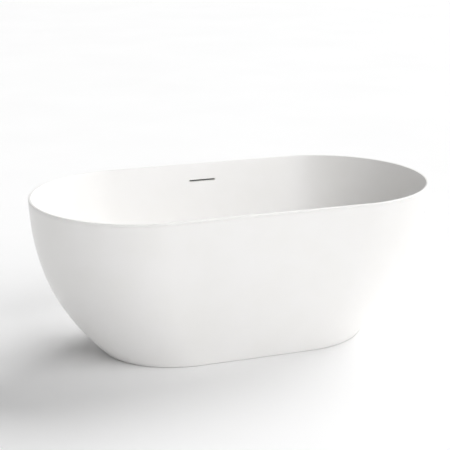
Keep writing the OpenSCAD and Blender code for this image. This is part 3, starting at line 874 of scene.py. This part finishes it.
@dataclass
class Shells:
    """The acrylic basin with its rim, and the skirt bonded under the rim."""

    form: BathForm
    palette: Palette
    basin_wall: float = 0.005
    skirt_wall: float = 0.004
    floor_bend: float = 0.075
    floor_fall: float = 0.006
    underside: float = 0.114
    drain_radius: float = 0.025
    dish_radius: float = 0.060
    dish_stretch: float = 0.005
    slot_width: float = 0.109
    slot_height: float = 0.009
    slot_drop: float = 0.061
    slot_cut: tuple[float, float] = (0.33, 0.3745)  # from inside the basin into the cavity
    flange_width: float = 0.018
    lift: float = 0.001
    bottom_round: float = 0.002
    rim_break: float = 0.0008
    skirt_break: float = 0.0006
    flange_bend: float = 0.004
    joint_gap: float = 0.0001
    round_steps: int = 6
    flange_steps: int = 4
    wall_steps: int = 44
    bend_steps: int = 14
    floor_steps: int = 10
    dish_steps: int = 3

    def build(self) -> None:
        """Build and place both shells, and dress the bead between them."""
        place(self.basin(), "bath", "acrylic", "inner_shell")
        place(self.skirt(), "bath", "acrylic", "outer_skirt")
        dress(self.palette.adhesive, "rim_bond")

    def heights(self, low: float, high: float, steps: int) -> list[float]:
        """Return steps heights between low and high, both left out, closer towards high."""
        crowding = 1.6
        return [low + (high - low) * (1 - (1 - k / steps) ** crowding) for k in range(1, steps)]

    def rim(self) -> list[Ring]:
        """Return the rings over the rim, from its underside to the top of the basin's face."""
        form = self.form
        lip = form.height - form.rim_depth
        r = form.rim_round
        rings = [
            form.ring(form.plan(lip, form.wall_inset(lip) - self.basin_wall), lip),
            form.ring(form.plan(lip, self.rim_break), lip),
            form.ring(form.plan(lip, 0.0), lip + self.rim_break),
        ]
        for k in range(self.round_steps + 1):
            angle = math.pi / 2 * k / self.round_steps
            z = form.height - r + r * math.sin(angle)
            rings.append(form.ring(form.plan(z, r * (1 - math.cos(angle))), z))
        for k in range(self.round_steps, -1, -1):
            angle = math.pi / 2 * k / self.round_steps
            z = form.height - r + r * math.sin(angle)
            inset = form.rim_width - r * (1 - math.cos(angle))
            rings.append(form.ring(form.plan(z, inset), z))
        return rings

    def floor_plans(self) -> list[tuple[tuple[float, float, float], float]]:
        """Return plan and share of the fall, from the floor's edge to the drain hole."""
        form = self.form
        bend_top = form.floor_height + self.floor_bend
        edge = form.plan(bend_top, form.wall_inset(bend_top) + self.floor_bend)
        dish = (self.dish_radius + self.dish_stretch, self.dish_radius, self.dish_radius)
        hole = (self.drain_radius, self.drain_radius, self.drain_radius)
        plans = []
        for k in range(1, self.floor_steps + 1):
            share = k / self.floor_steps
            plans.append((blend_plans(edge, dish, share), share))
        for k in range(1, self.dish_steps + 1):
            plans.append((blend_plans(dish, hole, k / self.dish_steps), 1.0))
        return plans

    def basin(self) -> bpy.types.Object:
        """Return the basin: rim, walls, floor and back, with its drain hole and its slot."""
        form = self.form
        bend_top = form.floor_height + self.floor_bend
        lip = form.height - form.rim_depth
        base_inset = form.wall_inset(bend_top)
        back = [form.ring(plan, self.underside) for plan, _ in reversed(self.floor_plans())]
        for k in range(self.bend_steps + 1):
            angle = math.pi / 2 * (1 - k / self.bend_steps)
            reach = (self.floor_bend + self.basin_wall) * (1 - math.cos(angle))
            z = bend_top - (bend_top - self.underside) * math.sin(angle)
            back.append(form.ring(form.plan(bend_top, base_inset - self.basin_wall + reach), z))
        for z in self.heights(bend_top, lip, self.wall_steps):
            back.append(form.ring(form.plan(z, form.wall_inset(z) - self.basin_wall), z))
        rim = self.rim()
        face = []
        for z in reversed(self.heights(bend_top, form.height - form.rim_round, self.wall_steps)):
            face.append(form.ring(form.plan(z, form.wall_inset(z)), z))
        for k in range(self.bend_steps + 1):
            angle = math.pi / 2 * k / self.bend_steps
            inset = base_inset + self.floor_bend * (1 - math.cos(angle))
            z = bend_top - self.floor_bend * math.sin(angle)
            face.append(form.ring(form.plan(bend_top, inset), z))
        for plan, share in self.floor_plans():
            eased = share * share * (3 - 2 * share)
            face.append(form.ring(plan, form.floor_height - self.floor_fall * eased))
        points, faces = strip(back + rim + face, closed=True)
        made = make_object(
            "acrylic_basin", points, faces, [self.palette.acrylic, self.palette.laminate]
        )
        combine(made, self.slot_tool(), "DIFFERENCE")
        self.laminate_back(made, back_side=True)
        finish_shading(made.data, SMOOTH_DEGREES)
        return made

    def slot_tool(self) -> bpy.types.Object:
        """Return the round-ended bar that opens the overflow slot."""
        z = self.form.height - self.slot_drop
        r = self.slot_height / 2
        reach = self.slot_width / 2 - r
        outline = []
        steps = 12
        for side in (1, -1):
            for k in range(steps + 1):
                angle = -math.pi / 2 + math.pi * k / steps
                outline.append(
                    (side * (reach + r * math.cos(angle)), side * r * math.sin(angle))
                )
        rings = [[(x, y, z + h) for x, h in outline] for y in self.slot_cut]
        points, faces = strip(rings, closed=False, capped=True)
        return make_object("slot_tool", points, faces, [])

    def laminate_back(self, shell: bpy.types.Object, back_side: bool) -> None:
        """Give the glass laminate to the faces of a shell that look into the cavity.

        Args:
            shell: The shell's object, whose second slot is the laminate.
            back_side: True for the basin, whose back faces outwards and down; False for the
                skirt, whose back faces inwards.
        """
        lip = self.form.height - self.form.rim_depth
        slack = 0.0002
        end_weight = 0.3  # the way outwards leans towards the long sides, as the plan does
        for face in shell.data.polygons:
            centre = face.center
            outward = Vector((centre.x * end_weight, centre.y, 0)).dot(face.normal)
            if back_side:
                faces_out = outward > 0 or face.normal.z < -0.5
                under_floor = centre.z < self.underside + slack
                hidden = under_floor or (faces_out and centre.z < lip + slack)
            else:
                hidden = outward < 0 and centre.z < lip - slack
            face.material_index = 1 if hidden else 0

    def skirt(self) -> bpy.types.Object:
        """Return the skirt: its outside, top edge, inside and turned-in bottom flange."""
        form = self.form
        low, top = self.lift, form.height - form.rim_depth - self.joint_gap
        r = self.bottom_round
        levels = [low + r + (top - low - r) * k / self.wall_steps for k in range(self.wall_steps)]
        rings = []
        for k in range(self.flange_steps + 1):
            angle = math.pi / 2 * (1 - k / self.flange_steps)
            z = low + r - r * math.sin(angle)
            rings.append(form.ring(form.plan(z, r * (1 - math.cos(angle))), z))
        rings += [form.ring(form.plan(z, 0.0), z) for z in levels[1:]]
        rings.append(form.ring(form.plan(top, 0.0), top - self.skirt_break))
        rings.append(form.ring(form.plan(top, self.skirt_break), top))
        rings.append(form.ring(form.plan(top, self.skirt_wall), top))
        rings += [form.ring(form.plan(z, self.skirt_wall), z) for z in reversed(levels[1:])]
        flange_top = low + self.skirt_wall
        bend = self.flange_bend
        for k in range(self.flange_steps + 1):
            angle = math.pi / 2 * k / self.flange_steps
            z = flange_top + bend * (1 - math.sin(angle))
            rings.append(
                form.ring(form.plan(z, self.skirt_wall + bend * (1 - math.cos(angle))), z)
            )
        edge = self.skirt_wall + self.flange_width
        rings.append(form.ring(form.plan(flange_top, edge), flange_top))
        rings.append(form.ring(form.plan(low, edge), low))
        points, faces = strip(rings, closed=True)
        made = make_object(
            "acrylic_skirt", points, faces, [self.palette.acrylic, self.palette.laminate]
        )
        self.laminate_back(made, back_side=False)
        return made


# ---------------------------------------------------------------- overflow and waste


@dataclass
class Overflow:
    """What carries water from the slot to the waste."""

    form: BathForm
    palette: Palette
    outer: float = 0.013
    root: float = 0.0119
    bore: float = 0.011
    bend: float = 0.080
    level_height: float = 0.060
    inlet: float = 0.060
    cover: float = 0.018
    box_bottom: float = 0.410
    spigot_gap: float = 0.006
    cuff: float = 0.021
    rib_pitch: float = 0.005
    basin_wall: float = 0.005
    skirt_wall: float = 0.004
    sight_height: float = 0.230  # the hose's straight run aims at the cavity's middle here
    end_break: float = 0.0003
    rib_steps: int = 8
    rib_fullness: float = 0.6
    bore_steps: int = 60
    steps: int = 36

    def build(self) -> None:
        """Build the hose and the softened fittings, and dress the rest."""
        palette = self.palette
        place(self.hose(), "bath", "hose_plastic", "overflow_hose")
        soften("slot_trim", "bath", "trim_white", palette.powder, 0.18)
        soften("overflow_box", "bath", "grey_plastic", palette.abs, 0.5)
        soften("hose_clip_upper", "bath", "clip_steel", palette.stainless, 0.25)
        soften("hose_clip_lower", "bath", "clip_steel", palette.stainless, 0.25)
        dress(palette.rubber, "overflow_gasket")
        dress(palette.zinc, "overflow_screws")

    def cavity_middle(self, z: float) -> float:
        """Return the place on Y halfway between the basin's back and the skirt at z."""
        back = self.form.plan(z, self.form.wall_inset(z) - self.basin_wall)[1]
        return (back + self.form.plan(z, self.skirt_wall)[1]) / 2

    def station(self, along: float) -> tuple[Point, float]:
        """Return the point on the hose's centre line at a distance, and its rise in radians."""
        top_y = self.cavity_middle(self.box_bottom)
        drop = self.box_bottom - self.sight_height
        lean = math.atan((top_y - self.cavity_middle(self.sight_height)) / drop)
        arc_z = self.level_height + self.bend * (1 - math.sin(lean))
        arc_y = top_y - (self.box_bottom - arc_z) * math.tan(lean)
        level_end = arc_y - self.bend * math.cos(lean)
        start = self.inlet - self.cover
        level = level_end - start
        rise = math.pi / 2 - lean
        if along < level:
            return (0.0, start + along, self.level_height), 0.0
        if along < level + self.bend * rise:
            turn = (along - level) / self.bend
            y = level_end + self.bend * math.sin(turn)
            return (0.0, y, self.level_height + self.bend * (1 - math.cos(turn))), turn
        rest = along - level - self.bend * rise
        return (0.0, arc_y + rest * math.sin(lean), arc_z + rest * math.cos(lean)), rise

    def hose_length(self) -> float:
        """Return the hose's length, up to its top end just below the box."""
        low, high = 0.0, 1.0
        lean = math.pi / 2 - self.station(high)[1]
        top = self.box_bottom - self.spigot_gap * math.cos(lean)
        for _ in range(40):
            middle = (low + high) / 2
            if self.station(middle)[0][2] < top:
                low = middle
            else:
                high = middle
        return low

    def ring(self, along: float, radius: float) -> Ring:
        """Return a ring of the hose square to its centre line."""
        (x, y, z), rise = self.station(along)
        points: Ring = []
        for k in range(self.steps):
            angle = 2 * math.pi * k / self.steps
            up = radius * math.sin(angle)
            points.append(
                (x + radius * math.cos(angle), y - up * math.sin(rise), z + up * math.cos(rise))
            )
        return points

    def hose(self) -> bpy.types.Object:
        """Return the hose: ribbed between two plain cuffs, with a smooth bore."""
        length = self.hose_length()
        ribs = round((length - 2 * self.cuff) / self.rib_pitch)
        pitch = (length - 2 * self.cuff) / ribs
        small = self.end_break
        rings = [self.ring(0.0, self.outer - small), self.ring(small, self.outer)]
        rings.append(self.ring(self.cuff, self.outer))
        swing = (self.outer - self.root) / 2
        for k in range(1, self.rib_steps * ribs):
            wave = math.cos(2 * math.pi * k / self.rib_steps)
            shaped = math.copysign(abs(wave) ** self.rib_fullness, wave)
            along = self.cuff + pitch * k / self.rib_steps
            rings.append(self.ring(along, self.outer - swing * (1 - shaped)))
        rings.append(self.ring(length - self.cuff, self.outer))
        rings.append(self.ring(length - small, self.outer))
        rings.append(self.ring(length, self.outer - small))
        for k in range(self.bore_steps, -1, -1):
            rings.append(self.ring(length * k / self.bore_steps, self.bore))
        points, faces = strip(rings, closed=True)
        return make_object("ribbed_hose", points, faces, [self.palette.polypropylene], 60.0)


@dataclass
class Waste:
    """The waste in the basin's floor, and what clamps it and drains it below."""

    palette: Palette
    cap_bottom: float = 0.1266
    cap_radius: float = 0.032
    cap_edge: float = 0.0012
    cap_edge_turn: float = 84.0  # degrees, where the rounded edge runs into the dome
    dome_steps: int = 18
    cap_rise: float = 0.0048
    cap_fall: float = 0.0018
    stub_radius: float = 0.006
    stub_drop: float = 0.003
    lock_nut_bottom: float = 0.103
    lock_nut_corners: float = 0.070
    lock_nut_height: float = 0.008
    lock_nut_bore: float = 0.0226
    lock_nut_steps: int = 144

    def build(self) -> None:
        """Build the cap and the softened fittings, and dress the rest."""
        palette = self.palette
        place(self.cap(), "waste_cap", "chrome", "waste_cap")
        place(self.lock_nut(), "bath", "brass", "waste_lock_nut")
        soften("waste_flange", "bath", "chrome", palette.chrome, 0.35)
        soften("waste_body", "bath", "grey_plastic", palette.abs, 0.8)
        soften("outlet_nut", "bath", "grey_plastic", palette.abs, 0.6)
        soften("outlet_tail", "bath", "hose_plastic", palette.polypropylene, 0.5)
        dress(palette.rubber, "upper_gasket", "lower_gasket", "cap_seal")
        dress(palette.brass, "cartridge_sleeve")
        dress(palette.stainless, "cap_stem")
        dress(palette.spring, "cartridge_spring")
        dress(palette.acetal, "latch_cam")

    def cap(self) -> bpy.types.Object:
        """Return the domed cap with its rolled edge and the stub under it."""
        edge, reach = self.cap_edge, self.cap_radius
        profile = [(0.0, -self.stub_drop), (self.stub_radius, -self.stub_drop)]
        profile.append((self.stub_radius, 0.0))
        profile += fillet((reach - edge, edge), edge, -90, 0)
        shoulder = self.cap_rise - self.cap_fall
        profile += fillet((reach - edge, shoulder - edge), edge, 0, self.cap_edge_turn)
        inner = reach - edge
        for k in range(1, self.dome_steps + 1):
            r = inner * (1 - k / self.dome_steps)
            profile.append((r, self.cap_rise - self.cap_fall * (r / reach) ** 2))
        return lathe(
            "domed_cap", profile, (0.0, 0.0, self.cap_bottom), self.palette.chrome, steps=128
        )

    def lock_nut(self) -> bpy.types.Object:
        """Return the wide hexagon nut under the basin."""
        across = self.lock_nut_corners * math.cos(math.pi / 6)
        nut = HexNut(across, self.lock_nut_height, self.lock_nut_bore, self.lock_nut_steps)
        points, faces = nut.skin((0.0, 0.0, self.lock_nut_bottom))
        return make_object("brass_lock_nut", points, faces, [self.palette.brass])


@dataclass
class Underframe:
    """The board under the basin, the steel rails, and the brackets that hold the skirt."""

    palette: Palette

    def build(self) -> None:
        """Build the softened frame parts and dress the screws."""
        palette = self.palette
        soften("base_board", "bath", "board", palette.board, 0.8)
        for node in ("long_rails", "cross_rails"):
            soften(node, "bath", "galvanised_steel", palette.galvanised, 0.6)
        soften("skirt_brackets", "bath", "galvanised_steel", palette.galvanised, 0.4)
        dress(palette.zinc, "rail_screws", "bracket_screws")


@dataclass
class LevellingFeet:
    """Six moulded feet on threaded studs, each with an adjusting nut and a lock nut."""

    palette: Palette
    columns: tuple[float, ...] = (-0.310, 0.110, 0.310)
    reach: float = 0.175
    base_radius: float = 0.024
    base_height: float = 0.008
    hub_radius: float = 0.0125
    hub_top: float = 0.0476
    stud_radius: float = 0.006
    stud_bottom: float = 0.010
    stud_length: float = 0.097
    pitch: float = 0.00175
    nut_across: float = 0.019
    nut_bottom: float = 0.0478
    nut_height: float = 0.010
    lock_bottom: float = 0.0781
    lock_height: float = 0.006
    thread_gap: float = 0.00005
    sole_round: float = 0.001
    shoulder_round: float = 0.0035
    root_round: float = 0.003
    hub_round: float = 0.001
    gusset_top: float = 0.024
    gusset_reach: float = 0.020
    gusset_thickness: float = 0.003
    gusset_sunk: float = 0.002

    def build(self) -> None:
        """Build every foot, stud and nut."""
        places = [(x, side * self.reach, 0.0) for x in self.columns for side in (-1, 1)]
        pattern = self.foot()
        lock_points: Ring = []
        lock_faces: list[list[int]] = []
        bore = self.stud_radius + self.thread_gap
        nut = HexNut(self.nut_across, self.nut_height, bore)
        lock = HexNut(self.nut_across, self.lock_height, bore)
        rod = ThreadedRod(self.stud_radius, self.pitch, self.stud_length)
        for k, at in enumerate(places, start=1):
            mesh = pattern.data.copy()
            mesh.transform(Matrix.Translation(at))
            foot = bpy.data.objects.new(f"moulded_foot_{k}", mesh)
            bpy.context.scene.collection.objects.link(foot)
            place(foot, f"foot_{k}", "foot_plastic", f"foot_{k}")
            stud = rod.build(
                f"threaded_stud_{k}", (at[0], at[1], self.stud_bottom), self.palette.zinc
            )
            place(stud, f"foot_{k}", "zinc_fixings", f"stud_{k}")
            points, faces = nut.skin((at[0], at[1], self.nut_bottom))
            turned = make_object(f"adjusting_nut_{k}", points, faces, [self.palette.zinc])
            place(turned, f"foot_nut_{k}", "zinc_fixings", f"foot_nut_{k}")
            points, faces = lock.skin((at[0], at[1], self.lock_bottom))
            lock_faces += [[i + len(lock_points) for i in f] for f in faces]
            lock_points += points
        locks = make_object("lock_nuts", lock_points, lock_faces, [self.palette.zinc])
        place(locks, "bath", "zinc_fixings", "foot_lock_nuts")
        bpy.data.objects.remove(pattern, do_unlink=True)

    def foot(self) -> bpy.types.Object:
        """Return one foot at the origin: a wide base, four gussets and a hub with its bore."""
        base, hub, top = self.base_radius, self.hub_radius, self.hub_top
        bore = self.stud_radius
        sole, shoulder, root = self.sole_round, self.shoulder_round, self.root_round
        profile = [(0.0, 0.0), (base - 2 * sole, 0.0)]
        profile += fillet((base - sole, sole), sole, -90, 0)
        profile += fillet((base - shoulder, self.base_height - shoulder), shoulder, 0, 90)
        profile += fillet((hub + root, self.base_height + root), root, -90, -180)
        profile += fillet((hub - self.hub_round, top - self.hub_round), self.hub_round, 0, 90)
        profile += [(bore, top), (bore, self.stud_bottom), (0.0, self.stud_bottom)]
        foot = lathe("foot_pattern", profile, (0.0, 0.0, 0.0), self.palette.nylon, steps=72)
        for turn in (0.0, math.pi / 2):
            combine(foot, self.gussets(turn), "UNION")
        finish_shading(foot.data, SMOOTH_DEGREES)
        return foot

    def gussets(self, turn: float) -> bpy.types.Object:
        """Return two opposite gussets as closed wedges on either side of the hub."""
        sunk = self.gusset_sunk
        low, mid = self.base_height - sunk, self.base_height + sunk / 2
        inner = self.hub_radius - sunk
        outline = [
            (inner, low),
            (self.gusset_reach, low),
            (self.gusset_reach, mid),
            (self.hub_radius + sunk / 2, self.gusset_top),
            (inner, self.gusset_top),
        ]
        points: Ring = []
        faces: list[list[int]] = []
        for side in (1, -1):
            rings = [
                [(side * r, y, z) for r, z in outline]
                for y in (-self.gusset_thickness / 2, self.gusset_thickness / 2)
            ]
            part, part_faces = strip(rings, closed=False, capped=True)
            faces += [[i + len(points) for i in f] for f in part_faces]
            points += part
        made = make_object("gussets", points, faces, [self.palette.nylon])
        made.data.transform(Matrix.Rotation(turn, 4, "Z"))
        return made


# ---------------------------------------------------------------- studio


@dataclass
class Studio:
    """A white floor, a bright surround, soft lights and the camera."""

    azimuth: float = -19.69
    elevation: float = 16.0
    distance: float = 4.475
    lens_mm: float = 96.9
    aim_right: float = -0.0314
    aim_height: float = 0.431
    horizon: float = 0.90
    overhead: float = 0.15
    softness: float = 50.0
    sensor_mm: float = 36.0
    floor_reach: float = 120.0
    dusk: tuple[float, float] = (0.08, 0.40)  # where the surround starts and ends dimming

    def build(self) -> None:
        """Build the whole stage."""
        self.camera()
        self.floor()
        self.surround()
        self.lights()

    def camera(self) -> None:
        """Place the camera."""
        turn, rise = math.radians(self.azimuth), math.radians(self.elevation)
        back = Vector(
            (
                math.sin(turn) * math.cos(rise),
                -math.cos(turn) * math.cos(rise),
                math.sin(rise),
            )
        )
        right = Vector((math.cos(turn), math.sin(turn), 0))
        up = back.cross(right)
        aim = right * self.aim_right + Vector((0, 0, self.aim_height))
        data = bpy.data.cameras.new("camera")
        data.lens = self.lens_mm
        data.sensor_width = self.sensor_mm
        made = bpy.data.objects.new("camera", data)
        bpy.context.scene.collection.objects.link(made)
        axes = Matrix((right, up, back)).transposed().to_4x4()
        made.matrix_world = Matrix.Translation(aim + back * self.distance) @ axes
        bpy.context.scene.camera = made

    def floor(self) -> None:
        """Lay the floor."""
        reach = self.floor_reach
        corners = [(-reach, -reach, 0), (reach, -reach, 0), (reach, reach, 0), (-reach, reach, 0)]
        made = make_object("studio_floor", corners, [[0, 1, 2, 3]], [StudioFloor().make()])

    def surround(self) -> None:
        """Wrap the scene in a white surround, bright at the horizon and dim overhead."""
        world = bpy.data.worlds.new("surround")
        bpy.context.scene.world = world
        world.use_nodes = True
        tree = world.node_tree
        place_on_dome = add_node(tree, "ShaderNodeTexCoord").outputs["Generated"]
        height = add_node(tree, "ShaderNodeSeparateXYZ", links={"Vector": place_on_dome})
        fall = add_node(
            tree,
            "ShaderNodeMapRange",
            {
                "interpolation_type": "SMOOTHSTEP",
                "From Min": self.dusk[0],
                "From Max": self.dusk[1],
                "To Min": self.horizon,
                "To Max": self.overhead,
            },
            {"Value": height.outputs["Z"]},
        )
        background = tree.nodes["Background"]
        background.inputs["Color"].default_value = (1.0, 1.0, 1.0, 1.0)
        tree.links.new(fall.outputs["Result"], background.inputs["Strength"])

    def soft_light(self, name: str, azimuth: float, elevation: float, strength: float) -> None:
        """Add one wide distant light, as a large diffuser far away gives.

        Args:
            name: The light's name.
            azimuth: Where it hangs, in degrees from -Y towards +X.
            elevation: Its height above the horizon, in degrees.
            strength: Its strength in watts per square metre.
        """
        turn, rise = math.radians(azimuth), math.radians(elevation)
        source = Vector(
            (math.sin(turn) * math.cos(rise), -math.cos(turn) * math.cos(rise), math.sin(rise))
        )
        data = bpy.data.lights.new(name, "SUN")
        data.energy = strength
        data.angle = math.radians(self.softness)
        made = bpy.data.objects.new(name, data)
        made.rotation_euler = (-source).to_track_quat("-Z", "Y").to_euler()
        bpy.context.scene.collection.objects.link(made)

    def lights(self) -> None:
        """Hang the soft lights: a key from the right and behind, and a fill in front."""
        self.soft_light("key_light", 120.0, 40.0, 2.80)
        self.soft_light("fill_light", 30.0, 40.0, 1.50)


def main() -> None:
    """Build the studio and the bath."""
    logging.basicConfig(level=logging.INFO, format="%(name)s: %(message)s")
    bpy.context.scene.view_settings.view_transform = "Standard"
    Studio().build()
    palette = Palette()
    form = BathForm()
    Shells(form, palette).build()
    Overflow(form, palette).build()
    Waste(palette).build()
    Underframe(palette).build()
    LevellingFeet(palette).build()


if __name__ == "__main__":
    main()
